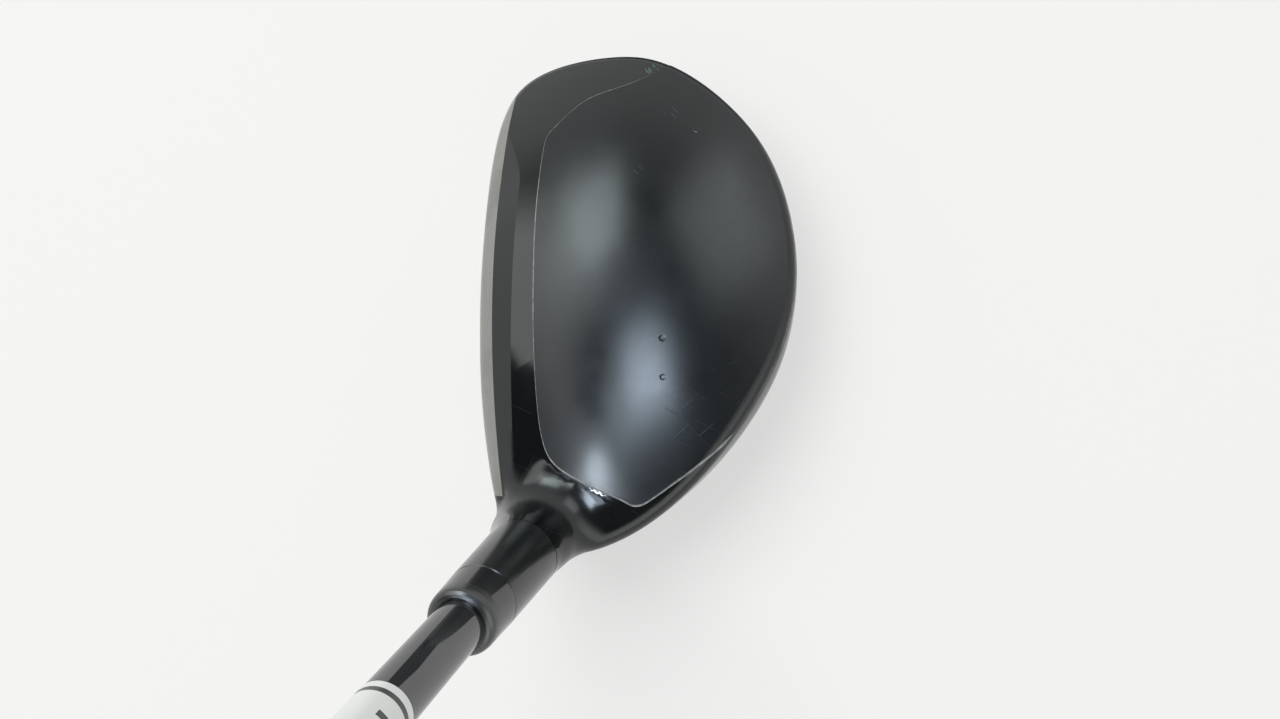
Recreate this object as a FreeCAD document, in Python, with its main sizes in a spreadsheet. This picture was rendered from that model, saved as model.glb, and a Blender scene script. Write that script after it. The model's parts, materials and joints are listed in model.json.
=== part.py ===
import FreeCAD, Part
import math
import os

import Sketcher

# A right-handed adjustable hybrid golf club at address, in millimetres.
# +Z is up, the shaft leans to +X, the toe points to -X, the face looks to -Y and
# the rear of the head is at +Y. The origin is the middle of the flat on the sole.

SIZES = {
    # the neck line: the shaft's axis, met by the ground plane at neck_x, neck_y
    "lie_angle": 59.5,
    "neck_x": 50,
    "neck_y": -8,
    "loft_angle": 22,
    # distances along the neck line from the ground
    "recess_mouth": 0,
    "screw_head_foot": 9,
    "washer_foot": 13.5,
    "boss_foot": 14.3,
    "boss_top": 17.3,
    "clip_foot": 17.45,
    "clip_top": 18.2,
    "adapter_foot": 18.9,
    "screw_tip": 28.4,
    "thread_top": 29.2,
    "shaft_tip": 30,
    "rim_seam": 43,
    "ferrule_seam": 64,
    "ferrule_shoulder": 72,
    "ferrule_top": 74,
    "taper_start": 150,
    "band_low": 102,
    "band_high": 130,
    "grip_mouth": 745,
    "grip_collar": 748,
    "grip_low": 830,
    "grip_high": 930,
    "grip_flare": 995,
    "grip_end": 1008,
    "shaft_butt": 1008,
    "club_length": 1016,
    # radii on the neck line
    "recess_r": 4.9,
    "screw_head_r": 4.1,
    "screw_hole_r": 2.6,
    "screw_r": 2.45,
    "screw_thread_r": 2.5,
    "socket_r": 2.0,
    "socket_depth": 3,
    "washer_r": 4.6,
    "clip_r": 3.9,
    "hosel_bore_r": 5.95,
    "adapter_lower_r": 5.9,
    "hosel_rim_r": 7.25,
    "ferrule_r": 6.75,
    "ferrule_top_r": 6.4,
    "ferrule_lip_r": 5.1,
    "tip_r": 4.7,
    "bore_r": 4.72,
    "tip_wall": 1.7,
    "butt_r": 7.3,
    "butt_end_r": 7.6,
    "butt_wall": 0.9,
    "band_skin": 0.12,
    "tape_skin": 0.18,
    "grip_mouth_r": 8.3,
    "grip_collar_r": 8.8,
    "grip_low_r": 10.2,
    "grip_high_r": 11.9,
    "grip_end_r": 13.2,
    "vent_r": 1.5,
    "key_width": 2.4,
    "key_height": 1.8,
    "key_slack": 0.05,
    # the head's outside
    "face_front": -19.8,
    "face_level": 31.5,
    "face_bulge_r": 300,
    "bulge_x": 22,
    "widest_level": 18,
    "toe_x": -44.2,
    "rear_y": 47,
    "heel_x": 68,
    "crown_top": 35.2,
    "crown_x": 14,
    "crown_rear_drop": 17.5,
    "crown_front_drop": 1.2,
    "crown_toe_drop": 12,
    "crown_heel_drop": 8.5,
    "facet_slope": 0.4,
    "sole_low": 0.3,
    "sole_x": 4,
    "sole_rear_rise": 9.5,
    "sole_front_rise": 3.4,
    "sole_toe_rise": 10.5,
    "sole_heel_rise": 9,
    "skirt_draw": 11,
    "top_draw": 1.2,
    "edge_r": 3.2,
    "sole_edge_r": 1.2,
    "wall": 1.0,
    "sole_wall": 1.6,
    "root_lift": 1.5,
    "plate_depth": 3.0,
    "panel_rise": 0.3,
    "panel_depth": 1.0,
    "bond_gap": 0.35,
    # face grooves
    "groove_count": 7,
    "groove_low": 7.5,
    "groove_pitch": 3.3,
    "groove_width": 0.9,
    "groove_depth": 0.35,
    # the weight in the rear of the sole
    "port_x": 6,
    "port_y": 27,
    "port_tilt": 13,
    "slug_r": 7,
    "slug_slack": 0.05,
    "slug_depth": 5.2,
    "slug_hole_r": 2.05,
    "slug_head_r": 3.4,
    "slug_head_depth": 2.4,
    "bolt_r": 1.95,
    "bolt_thread_r": 2,
    "bolt_length": 12,
    "liner_r": 4.2,
    "liner_depth": 8,
}


def fill_sheet(doc):
    sheet = doc.addObject("Spreadsheet::Sheet", "sizes")
    for row, (name, value) in enumerate(SIZES.items(), start=1):
        sheet.set(f"A{row}", name)
        sheet.set(f"B{row}", str(value))
        sheet.setAlias(f"B{row}", name)
    doc.recompute()
    return sheet


# ---------------------------------------------------------------- turned pieces

def origin_plane(body, role):
    for feature in body.Origin.OriginFeatures:
        if feature.Role == role:
            return feature
    raise RuntimeError("no origin plane " + role)


def bound_sketch(body, name, corners):
    """A closed profile in the body's XZ plane; each corner is (radius, height) in sheet terms."""
    sketch = body.newObject("Sketcher::SketchObject", name)
    sketch.AttachmentSupport = [(origin_plane(body, "XZ_Plane"), "")]
    sketch.MapMode = "FlatFace"
    spots = [FreeCAD.Vector(value_of(r), value_of(h), 0) for r, h in corners]
    count = len(spots)
    for i in range(count):
        sketch.addGeometry(Part.LineSegment(spots[i], spots[(i + 1) % count]), False)
    for i in range(count):
        sketch.addConstraint(Sketcher.Constraint("Coincident", i, 2, (i + 1) % count, 1))
    for i, (radius, height) in enumerate(corners):
        if radius == "0":
            sketch.addConstraint(Sketcher.Constraint("PointOnObject", i, 1, -2))
        else:
            bind(sketch, "DistanceX", i, radius)
        bind(sketch, "DistanceY", i, height)
    return sketch


def bind(sketch, kind, line, term):
    number = sketch.addConstraint(Sketcher.Constraint(kind, -1, 1, line, 1, value_of(term)))
    sketch.setExpression(f"Constraints[{number}]", in_sheet(term))


def in_sheet(term):
    """'a + b' in sheet words becomes 'sizes.a + sizes.b'; numbers stay as they are."""
    words = term.split()
    return " ".join("sizes." + w if w in SIZES else w for w in words)


def value_of(term):
    """The value of a sum or difference of sheet words and numbers."""
    total = 0.0
    sign = 1.0
    for word in term.split():
        if word == "+":
            sign = 1.0
        elif word == "-":
            sign = -1.0
        else:
            total += sign * (SIZES[word] if word in SIZES else float(word))
    return total


def turned_body(doc, name, corners):
    body = doc.addObject("PartDesign::Body", name)
    body.Label = name
    profile = bound_sketch(body, name + "_profile", corners)
    turn = body.newObject("PartDesign::Revolution", name + "_turn")
    turn.Profile = profile
    turn.ReferenceAxis = (profile, ["V_Axis"])
    turn.Angle = 360
    profile.Visibility = False
    return body


def sketch_at_height(body, name, height):
    sketch = body.newObject("Sketcher::SketchObject", name)
    sketch.AttachmentSupport = [(origin_plane(body, "XY_Plane"), "")]
    sketch.MapMode = "FlatFace"
    sketch.setExpression(".AttachmentOffset.Base.z", in_sheet(height))
    return sketch


def on_neck(body):
    """Lay a body's own Z on the neck line."""
    turn = FreeCAD.Rotation(FreeCAD.Vector(0, 1, 0), 90 - SIZES["lie_angle"])
    body.Placement = FreeCAD.Placement(FreeCAD.Vector(SIZES["neck_x"], SIZES["neck_y"], 0), turn)
    body.setExpression(".Placement.Base.x", "sizes.neck_x")
    body.setExpression(".Placement.Base.y", "sizes.neck_y")
    body.setExpression(".Placement.Rotation.Angle", "90 - sizes.lie_angle")


def hex_pocket(body, name, height, radius, depth):
    """A six-sided driver socket cut upward from the given height."""
    sketch = sketch_at_height(body, name + "_sketch", height)
    reach = value_of(radius)
    spots = [FreeCAD.Vector(reach * math.cos(a), reach * math.sin(a), 0)
             for a in [math.radians(60 * i) for i in range(6)]]
    for i in range(6):
        sketch.addGeometry(Part.LineSegment(spots[i], spots[(i + 1) % 6]), False)
    for i in range(6):
        sketch.addConstraint(Sketcher.Constraint("Coincident", i, 2, (i + 1) % 6, 1))
    guide = sketch.addGeometry(Part.Circle(FreeCAD.Vector(0, 0, 0), FreeCAD.Vector(0, 0, 1), reach), True)
    sketch.addConstraint(Sketcher.Constraint("Coincident", guide, 3, -1, 1))
    number = sketch.addConstraint(Sketcher.Constraint("Radius", guide, reach))
    sketch.setExpression(f"Constraints[{number}]", in_sheet(radius))
    for i in range(6):
        sketch.addConstraint(Sketcher.Constraint("PointOnObject", i, 1, guide))
    for i in range(5):
        sketch.addConstraint(Sketcher.Constraint("Equal", i, i + 1))
    sketch.addConstraint(Sketcher.Constraint("PointOnObject", 0, 1, -1))
    before = body.Shape.Volume
    pocket = body.newObject("PartDesign::Pocket", name)
    pocket.Profile = sketch
    pocket.Type = 0
    pocket.setExpression("Length", in_sheet(depth))
    pocket.Reversed = True
    body.Document.recompute()
    if body.Shape.Volume > before - 1:
        raise RuntimeError(name + " cut nothing")


def make_shaft(doc):
    on_neck(turned_body(doc, "shaft", [
        ("tip_r", "shaft_tip"), ("tip_r", "taper_start"), ("butt_r", "grip_mouth"),
        ("butt_end_r", "shaft_butt"), ("butt_end_r - butt_wall", "shaft_butt"),
        ("butt_r - butt_wall", "grip_mouth"), ("tip_r - tip_wall", "taper_start"),
        ("tip_r - tip_wall", "shaft_tip")]))


def make_tip_plug(doc):
    on_neck(turned_body(doc, "tip_plug", [
        ("0", "shaft_tip + 1"), ("tip_r - tip_wall - 0.02", "shaft_tip + 1"),
        ("tip_r - tip_wall - 0.02", "shaft_tip + 14"), ("0", "shaft_tip + 14")]))


def make_shaft_band(doc):
    on_neck(turned_body(doc, "shaft_band", [
        ("tip_r", "band_low"), ("tip_r + band_skin", "band_low + 0.1"),
        ("tip_r + band_skin", "band_high - 0.1"), ("tip_r", "band_high")]))


def make_ferrule(doc):
    on_neck(turned_body(doc, "ferrule", [
        ("bore_r", "ferrule_seam"), ("ferrule_r - 0.3", "ferrule_seam"),
        ("ferrule_r", "ferrule_seam + 0.25"), ("ferrule_top_r", "ferrule_shoulder"),
        ("ferrule_top_r - 0.1", "ferrule_shoulder + 0.7"),
        ("ferrule_top_r - 0.35", "ferrule_shoulder + 1.3"),
        ("ferrule_top_r - 0.8", "ferrule_shoulder + 1.75"),
        ("ferrule_lip_r", "ferrule_top"), ("bore_r", "ferrule_top")]))


def make_adapter(doc):
    body = turned_body(doc, "adapter_sleeve", [
        ("screw_thread_r", "adapter_foot"), ("adapter_lower_r", "adapter_foot"),
        ("adapter_lower_r", "rim_seam"), ("hosel_rim_r - 0.25", "rim_seam"),
        ("hosel_rim_r", "rim_seam + 0.25"), ("ferrule_r", "ferrule_seam - 0.2"),
        ("ferrule_r - 0.25", "ferrule_seam"), ("bore_r", "ferrule_seam"), ("bore_r", "shaft_tip"),
        ("0", "shaft_tip"), ("0", "thread_top"), ("screw_thread_r", "thread_top")])
    doc.recompute()
    before = body.Shape.Volume
    sketch = sketch_at_height(body, "adapter_key_sketch", "rim_seam")
    near = SIZES["adapter_lower_r"] - 0.3
    far = SIZES["adapter_lower_r"] + 0.75
    half = SIZES["key_width"] / 2
    spots = [FreeCAD.Vector(near, -half, 0), FreeCAD.Vector(far, -half, 0),
             FreeCAD.Vector(far, half, 0), FreeCAD.Vector(near, half, 0)]
    for i in range(4):
        sketch.addGeometry(Part.LineSegment(spots[i], spots[(i + 1) % 4]), False)
    for i in range(4):
        sketch.addConstraint(Sketcher.Constraint("Coincident", i, 2, (i + 1) % 4, 1))
    for i, (across, along) in enumerate((("adapter_lower_r - 0.3", -1), ("adapter_lower_r + 0.75", -1),
                                         ("adapter_lower_r + 0.75", 1), ("adapter_lower_r - 0.3", 1))):
        bind(sketch, "DistanceX", i, across)
        number = sketch.addConstraint(Sketcher.Constraint("DistanceY", -1, 1, i, 1, along * half))
        sketch.setExpression(f"Constraints[{number}]", f"{along} * sizes.key_width / 2")
    key = body.newObject("PartDesign::Pad", "adapter_key")
    key.Profile = sketch
    key.setExpression("Length", "sizes.key_height")
    key.Reversed = True
    doc.recompute()
    ring = body.newObject("PartDesign::PolarPattern", "adapter_keys")
    ring.Originals = [key]
    ring.Axis = (sketch, ["N_Axis"])
    ring.Angle = 360
    ring.Occurrences = 4
    body.Tip = ring
    doc.recompute()
    if body.Shape.Volume < before + 3 * SIZES["key_width"] * SIZES["key_height"] * 0.6:
        raise RuntimeError("the adapter's keys are missing")
    on_neck(body)


def make_hosel_screw(doc):
    body = turned_body(doc, "hosel_screw", [
        ("0", "screw_head_foot"), ("screw_head_r - 0.4", "screw_head_foot"),
        ("screw_head_r", "screw_head_foot + 0.4"), ("screw_head_r", "washer_foot"),
        ("screw_r", "washer_foot"), ("screw_r", "screw_tip - 0.6"),
        ("screw_r - 0.6", "screw_tip"), ("0", "screw_tip")])
    doc.recompute()
    hex_pocket(body, "hosel_screw_socket", "screw_head_foot", "socket_r", "socket_depth")
    on_neck(body)


def make_screw_washer(doc):
    on_neck(turned_body(doc, "screw_washer", [
        ("screw_hole_r", "washer_foot"), ("washer_r", "washer_foot"),
        ("washer_r", "boss_foot"), ("screw_hole_r", "boss_foot")]))


def make_screw_clip(doc):
    on_neck(turned_body(doc, "screw_clip", [
        ("screw_r", "clip_foot"), ("clip_r", "clip_foot"), ("clip_r", "clip_top"),
        ("screw_r", "clip_top")]))


def make_grip(doc):
    on_neck(turned_body(doc, "grip_tape", [
        ("butt_r", "grip_mouth"), ("butt_r + tape_skin", "grip_mouth"),
        ("butt_end_r + tape_skin", "shaft_butt"), ("butt_end_r", "shaft_butt")]))
    on_neck(turned_body(doc, "grip_sleeve", [
        ("butt_r + tape_skin", "grip_mouth"), ("grip_mouth_r", "grip_mouth"),
        ("grip_collar_r", "grip_collar"), ("grip_low_r", "grip_low"), ("grip_high_r", "grip_high"),
        ("grip_end_r", "grip_flare"), ("grip_end_r", "grip_end"),
        ("butt_end_r + tape_skin", "grip_end")]))
    on_neck(turned_body(doc, "grip_cap", [
        ("vent_r", "grip_end"), ("grip_end_r", "grip_end"), ("grip_end_r", "grip_end + 4"),
        ("grip_end_r - 0.6", "grip_end + 5.6"), ("grip_end_r - 2", "grip_end + 6.9"),
        ("grip_end_r - 4.5", "grip_end + 7.6"), ("grip_end_r - 8", "club_length"),
        ("vent_r", "club_length")]))


# ---------------------------------------------------------------- the sole's weight

def on_port(body):
    """Lay a body's own Z on the weight port's line, which runs up into the head."""
    foot = port_foot()
    body.Placement = FreeCAD.Placement(foot, FreeCAD.Rotation(FreeCAD.Vector(1, 0, 0), SIZES["port_tilt"]))
    body.setExpression(".Placement.Base.x", "sizes.port_x")
    body.setExpression(".Placement.Base.y", "sizes.port_y")
    body.setExpression(".Placement.Rotation.Angle", "sizes.port_tilt")


def port_foot():
    x = SIZES["port_x"]
    y = SIZES["port_y"]
    return FreeCAD.Vector(x, y, sole_height(x, y))


def make_weight(doc):
    on_port(turned_body(doc, "sole_weight", [
        ("slug_hole_r", "slug_head_depth + 0.4"), ("slug_head_r", "slug_head_depth + 0.4"),
        ("slug_head_r", "0.4"), ("slug_r - 0.5", "0.4"), ("slug_r", "0.9"),
        ("slug_r", "slug_depth + 0.4"), ("slug_hole_r", "slug_depth + 0.4")]))
    on_port(turned_body(doc, "weight_ring", [
        ("bolt_thread_r + 1", "slug_depth + 0.4"), ("slug_r - 0.4", "slug_depth + 0.4"),
        ("slug_r - 0.4", "slug_depth + 1"), ("bolt_thread_r + 1", "slug_depth + 1")]))
    bolt = turned_body(doc, "weight_bolt", [
        ("0", "0.7"), ("slug_head_r - 0.5", "0.7"), ("slug_head_r - 0.1", "1.1"),
        ("slug_head_r - 0.1", "slug_head_depth + 0.4"), ("bolt_r", "slug_head_depth + 0.4"),
        ("bolt_r", "bolt_length + 0.1"), ("bolt_r - 0.5", "bolt_length + 0.6"), ("0", "bolt_length + 0.6")])
    doc.recompute()
    hex_pocket(bolt, "weight_bolt_socket", "0.7", "slug_head_r - 1.7", "1.6")
    on_port(bolt)
    on_port(turned_body(doc, "port_liner", [
        ("bolt_thread_r", "slug_depth + 1"), ("liner_r", "slug_depth + 1"),
        ("liner_r", "slug_depth + liner_depth + 1"), ("0", "slug_depth + liner_depth + 1"),
        ("0", "slug_depth + liner_depth + 0.2"), ("bolt_thread_r", "slug_depth + liner_depth + 0.2")]))


# ---------------------------------------------------------------- the head's surfaces

# The head's outline behind the face, from toe round the rear to heel: how far along the
# head's length, and how far back as a share of its depth.
REAR_LINE = ((0, 0.17), (0.016, 0.37), (0.064, 0.553), (0.135, 0.72), (0.229, 0.872),
             (0.34, 0.966), (0.456, 1), (0.572, 0.979), (0.679, 0.902), (0.777, 0.774),
             (0.862, 0.609), (0.929, 0.421), (0.978, 0.202), (1, -0.02))
FACE_STATIONS = (50, 32, 14, -4, -20, -31)
LEVELS = (-3, 3, 9, 15, 21, 27, 33, 40)
MIDDLE = (10, 6)

# The crown panel's edge: a nearly straight front, a rounded V at the heel, and a run
# outside the head's rim round the toe and rear.
PANEL_LINE = ((40, -5.9), (26, -5.8), (12, -5.4), (0, -5.1), (-10, -4.7), (-17, -4.3),
              (-20.3, -3.9), (-22.2, -3.1), (-24.0, -1.6), (-27.2, 1.4), (-30.2, 5.4), (-32.2, 11),
              (-34.5, 16.6), (-38.6, 22), (-44.5, 30), (-42, 42), (-24, 52), (0, 56), (19, 52.5),
              (30, 46.5), (40, 39.4), (47, 34.0), (54.2, 26.4), (58.4, 20.4), (61.4, 15.5),
              (62.3, 13.5), (62.3, 11.9), (61.4, 10.3), (58.9, 5.6), (56.4, 1.2), (54.4, -1.7),
              (51.6, -4.2), (47, -5.5))


def face_line(x, z):
    """How far forward the face lies at a height."""
    back = (z - SIZES["face_level"]) * math.tan(math.radians(SIZES["loft_angle"]))
    bulge = (x - SIZES["bulge_x"]) ** 2 / (2 * SIZES["face_bulge_r"])
    return SIZES["face_front"] + back + bulge


def outline(z, inset):
    length = SIZES["heel_x"] - SIZES["toe_x"]
    low = max(0, (SIZES["widest_level"] - z) / SIZES["widest_level"])
    high = max(0, z - SIZES["widest_level"]) / 20
    draw = inset + SIZES["skirt_draw"] * low ** 2 + SIZES["top_draw"] * high ** 2
    lean = 0.5 * (z - SIZES["widest_level"])
    rear = []
    for along, back in REAR_LINE:
        x = SIZES["toe_x"] + along * length
        y = back * SIZES["rear_y"]
        reach = math.hypot(x - MIDDLE[0], y - MIDDLE[1])
        keep = (reach - draw) / reach
        heelward = max(0, (along - 0.7) / 0.3)
        rear.append((MIDDLE[0] + (x - MIDDLE[0]) * keep + heelward * lean,
                     MIDDLE[1] + (y - MIDDLE[1]) * keep))
    front = [(x, face_line(x, z) + inset) for x in FACE_STATIONS]
    front[0] = (front[0][0], front[0][1] + 0.6)
    front[-1] = (front[-1][0], front[-1][1] + 0.9)
    toe = [(-38.6 + 0.5 * draw, face_line(-38.6, z) + inset + 3.2 + 0.3 * draw),
           (-43 + 0.9 * draw, face_line(-43, z) + inset + 9.2)]
    corner = face_line(60, z) + inset
    heel = [(SIZES["heel_x"] - 1 - 0.9 * draw + lean, (corner - 1) / 2 + 1),
            (SIZES["heel_x"] - 6.5 - 0.6 * draw + 0.9 * lean, corner + 3.4)]
    return rear[6:] + heel + front + toe + rear[:6]


def spacing(points):
    steps = [0.0]
    for here, there in zip(points, points[1:] + points[:1]):
        steps.append(steps[-1] + math.hypot(here[0] - there[0], here[1] - there[1]) ** 0.7)
    return steps


def column(inset):
    """The head's upright walls, from well under the sole to well over the crown."""
    steps = spacing(outline(SIZES["widest_level"], 0))
    rings = []
    for z in LEVELS:
        curve = Part.BSplineCurve()
        curve.interpolate(Points=[FreeCAD.Vector(x, y, z) for x, y in outline(z, inset)],
                          Parameters=steps, PeriodicFlag=True)
        rings.append(Part.Wire(curve.toShape()))
    return Part.makeLoft(rings, True, False)


def crown_height(x, y):
    z = SIZES["crown_top"]
    if y > 0:
        z -= SIZES["crown_rear_drop"] * (y / SIZES["rear_y"]) ** 2
    else:
        z -= SIZES["crown_front_drop"] * (y / 20) ** 2
    if x < SIZES["crown_x"]:
        z -= SIZES["crown_toe_drop"] * ((SIZES["crown_x"] - x) / (SIZES["crown_x"] - SIZES["toe_x"])) ** 2
    else:
        z -= SIZES["crown_heel_drop"] * ((x - SIZES["crown_x"]) / (SIZES["heel_x"] - SIZES["crown_x"])) ** 2
    return z


def crease_line(x):
    """Where the crown breaks forward into the slanted band above the face."""
    beyond = -13.5 - x
    turn = (beyond + math.hypot(beyond, 2)) / 2
    return max(-10.3 - 0.045 * (x - 6) - 0.42 * turn, -30)


def facet_height(x, y):
    crease = crease_line(x)
    return crown_height(x, crease) - SIZES["facet_slope"] * (crease - y)


def sole_height(x, y):
    z = -SIZES["sole_low"]
    if y > 0:
        z += SIZES["sole_rear_rise"] * (y / SIZES["rear_y"]) ** 2
    else:
        z += SIZES["sole_front_rise"] * (y / 30) ** 2
    if x < SIZES["sole_x"]:
        u = (SIZES["sole_x"] - x) / (SIZES["sole_x"] - SIZES["toe_x"])
        return z + SIZES["sole_toe_rise"] * (0.4 * u ** 2 + 0.6 * u ** 4)
    u = (x - SIZES["sole_x"]) / (SIZES["heel_x"] - SIZES["sole_x"])
    return z + SIZES["sole_heel_rise"] * (0.45 * u ** 2 + 0.55 * u ** 4)


def height_solid(height, lift, depth, step=13.2):
    """Everything within 'depth' of a surface given by its height at each x and y."""
    across = [-62 + step * i for i in range(int(158.4 / step) + 1)]
    back = [-44 + 10.7 * i for i in range(11)]
    sheet = Part.BSplineSurface()
    sheet.interpolate([[FreeCAD.Vector(x, y, height(x, y) + lift) for y in back] for x in across])
    return sheet.toShape().extrude(FreeCAD.Vector(0, 0, depth))


def front_slab(depth):
    """Everything ahead of the face plate's back, out to the plate's heel edge."""
    across = [-70 + 14 * i for i in range(11)]
    levels = [-12 + 8 * i for i in range(8)]
    sheet = Part.BSplineSurface()
    sheet.interpolate([[FreeCAD.Vector(x, face_line(x, z) + depth, z) for z in levels] for x in across])
    slab = sheet.toShape().extrude(FreeCAD.Vector(0, -60, 0))
    heel = Part.makeBox(120, 160, 160, FreeCAD.Vector(0, -80, -80))
    heel.rotate(FreeCAD.Vector(0, 0, 0), FreeCAD.Vector(0, 1, 0), 90 - SIZES["lie_angle"])
    heel.translate(FreeCAD.Vector(SIZES["neck_x"] - 8.5, 0, 0))
    return slab.cut(heel)


def neck_point(along, off=0):
    lie = math.radians(SIZES["lie_angle"])
    return FreeCAD.Vector(SIZES["neck_x"] + along * math.cos(lie) - off * math.sin(lie),
                          SIZES["neck_y"], along * math.sin(lie) + off * math.cos(lie))


def neck_direction():
    lie = math.radians(SIZES["lie_angle"])
    return FreeCAD.Vector(math.cos(lie), 0, math.sin(lie))


def neck_rod(radius, low, high):
    return Part.makeCylinder(radius, high - low, neck_point(low), neck_direction())


def hosel_flare():
    """The neck's root: oval rings that widen to the front and rear, down into the head."""
    rim = SIZES["hosel_rim_r"]
    rings = ((SIZES["rim_seam"], rim, rim, 0, 0), (41, 7.6, 7.28, -0.2, 0), (38, 8.4, 7.35, -0.4, 0),
             (35, 9.3, 7.45, -0.5, 0), (32, 10.1, 7.6, -0.6, 0), (29, 10.7, 7.9, -0.5, 0),
             (26, 11.1, 8.3, -0.3, 0.3), (23, 11.4, 8.7, 0, 0.6), (20, 11.6, 9, 0.3, 0.9),
             (16, 11.6, 9.2, 0.7, 1.2), (4, 10, 8.2, 0.7, 1))
    wires = []
    for along, fore, across, rearward, off in rings:
        middle = neck_point(along, off) + FreeCAD.Vector(0, rearward, 0)
        side = neck_point(along, off + across) + FreeCAD.Vector(0, rearward, 0)
        ring = Part.Ellipse(middle + FreeCAD.Vector(0, fore, 0), side, middle)
        wires.append(Part.Wire(ring.toShape()))
    return Part.makeLoft(wires, True, False)


def edges_round(shape, upper):
    """The edges where the upright walls meet the crown (upper) or the sole."""
    found = []
    for edge in shape.Edges:
        faces = shape.ancestorsOfType(edge, Part.Face)
        middle = edge.valueAt((edge.FirstParameter + edge.LastParameter) / 2)
        steep = 0
        for face in faces:
            u, v = face.Surface.parameter(middle)
            if abs(face.normalAt(u, v).z) < 0.62:
                steep += 1
        if len(faces) == 2 and steep == 1 and (middle.z > 14) == upper:
            found.append(edge)
    return found


def only_solid(shape):
    solids = sorted(shape.Solids, key=lambda s: s.Volume)
    return solids[-1]


def head_outside():
    """The head's outer skin as one solid, without the neck's root."""
    above_ground = Part.makeBox(300, 300, 100, FreeCAD.Vector(-150, -150, 0))
    solid = column(0).common(height_solid(crown_height, 0, -70))
    solid = solid.common(height_solid(facet_height, 0, -70, 4.95))
    solid = only_solid(solid.common(height_solid(sole_height, 0, 80)).common(above_ground))
    solid = only_solid(solid.makeFillet(SIZES["edge_r"], edges_round(solid, True)))
    return only_solid(solid.makeFillet(SIZES["sole_edge_r"], edges_round(solid, False)))


def head_cavity():
    wall = SIZES["wall"]
    space = column(wall).common(height_solid(crown_height, -wall - SIZES["panel_depth"], -70))
    space = space.common(height_solid(facet_height, -wall - SIZES["panel_depth"], -70))
    space = space.common(height_solid(sole_height, SIZES["sole_wall"], 80))
    space = space.common(Part.makeBox(200, 200, 100, FreeCAD.Vector(58 - 200, -100, 0)))
    space = space.cut(neck_rod(SIZES["hosel_rim_r"] + 1.2, 0, 60))
    return only_solid(space.cut(port_rod(SIZES["slug_r"] + 1.8, -5, SIZES["slug_depth"] + 2.2)
                                .fuse(port_rod(SIZES["liner_r"] + 1.3, -5, SIZES["slug_depth"] + 11))))


def port_rod(radius, low, high):
    rod = Part.makeCylinder(radius, high - low, FreeCAD.Vector(0, 0, low))
    rod.rotate(FreeCAD.Vector(0, 0, 0), FreeCAD.Vector(1, 0, 0), SIZES["port_tilt"])
    rod.translate(port_foot())
    return rod


def panel_prism(grow):
    middle = FreeCAD.Vector(8, 14, 0)
    points = []
    for x, y in PANEL_LINE:
        arm = FreeCAD.Vector(x, y, 0) - middle
        points.append(middle + arm * ((arm.Length + grow) / arm.Length))
    curve = Part.BSplineCurve()
    steps = spacing([(p.x, p.y) for p in points])
    curve.interpolate(Points=points, Parameters=steps, PeriodicFlag=True)
    face = Part.Face(Part.Wire(curve.toShape()))
    return face.extrude(FreeCAD.Vector(0, 0, 70))


def face_grooves():
    walls = column(0)
    walls.translate(FreeCAD.Vector(0, SIZES["groove_depth"], 0))
    slits = []
    for i in range(int(SIZES["groove_count"])):
        z = SIZES["groove_low"] + i * SIZES["groove_pitch"]
        half = 25 - 1.1 * abs(i - 3) ** 1.5
        low = FreeCAD.Vector(SIZES["bulge_x"] - 12 - half, -60, z)
        slits.append(Part.makeBox(2 * half, 80, SIZES["groove_width"], low))
    return [slit.cut(walls) for slit in slits]


def adapter_notches():
    slack = SIZES["key_slack"]
    width = SIZES["key_width"] + 2 * slack
    height = SIZES["key_height"] + 2 * slack
    reach = 2 * (SIZES["adapter_lower_r"] + 0.75 + slack)
    cross = []
    for size_x, size_y in ((reach, width), (width, reach)):
        bar = Part.makeBox(size_x, size_y, height, FreeCAD.Vector(-size_x / 2, -size_y / 2, -height))
        cross.append(bar)
    notch = cross[0].fuse(cross[1])
    notch.rotate(FreeCAD.Vector(0, 0, 0), FreeCAD.Vector(0, 1, 0), 90 - SIZES["lie_angle"])
    notch.translate(neck_point(SIZES["rim_seam"]))
    return notch


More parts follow.
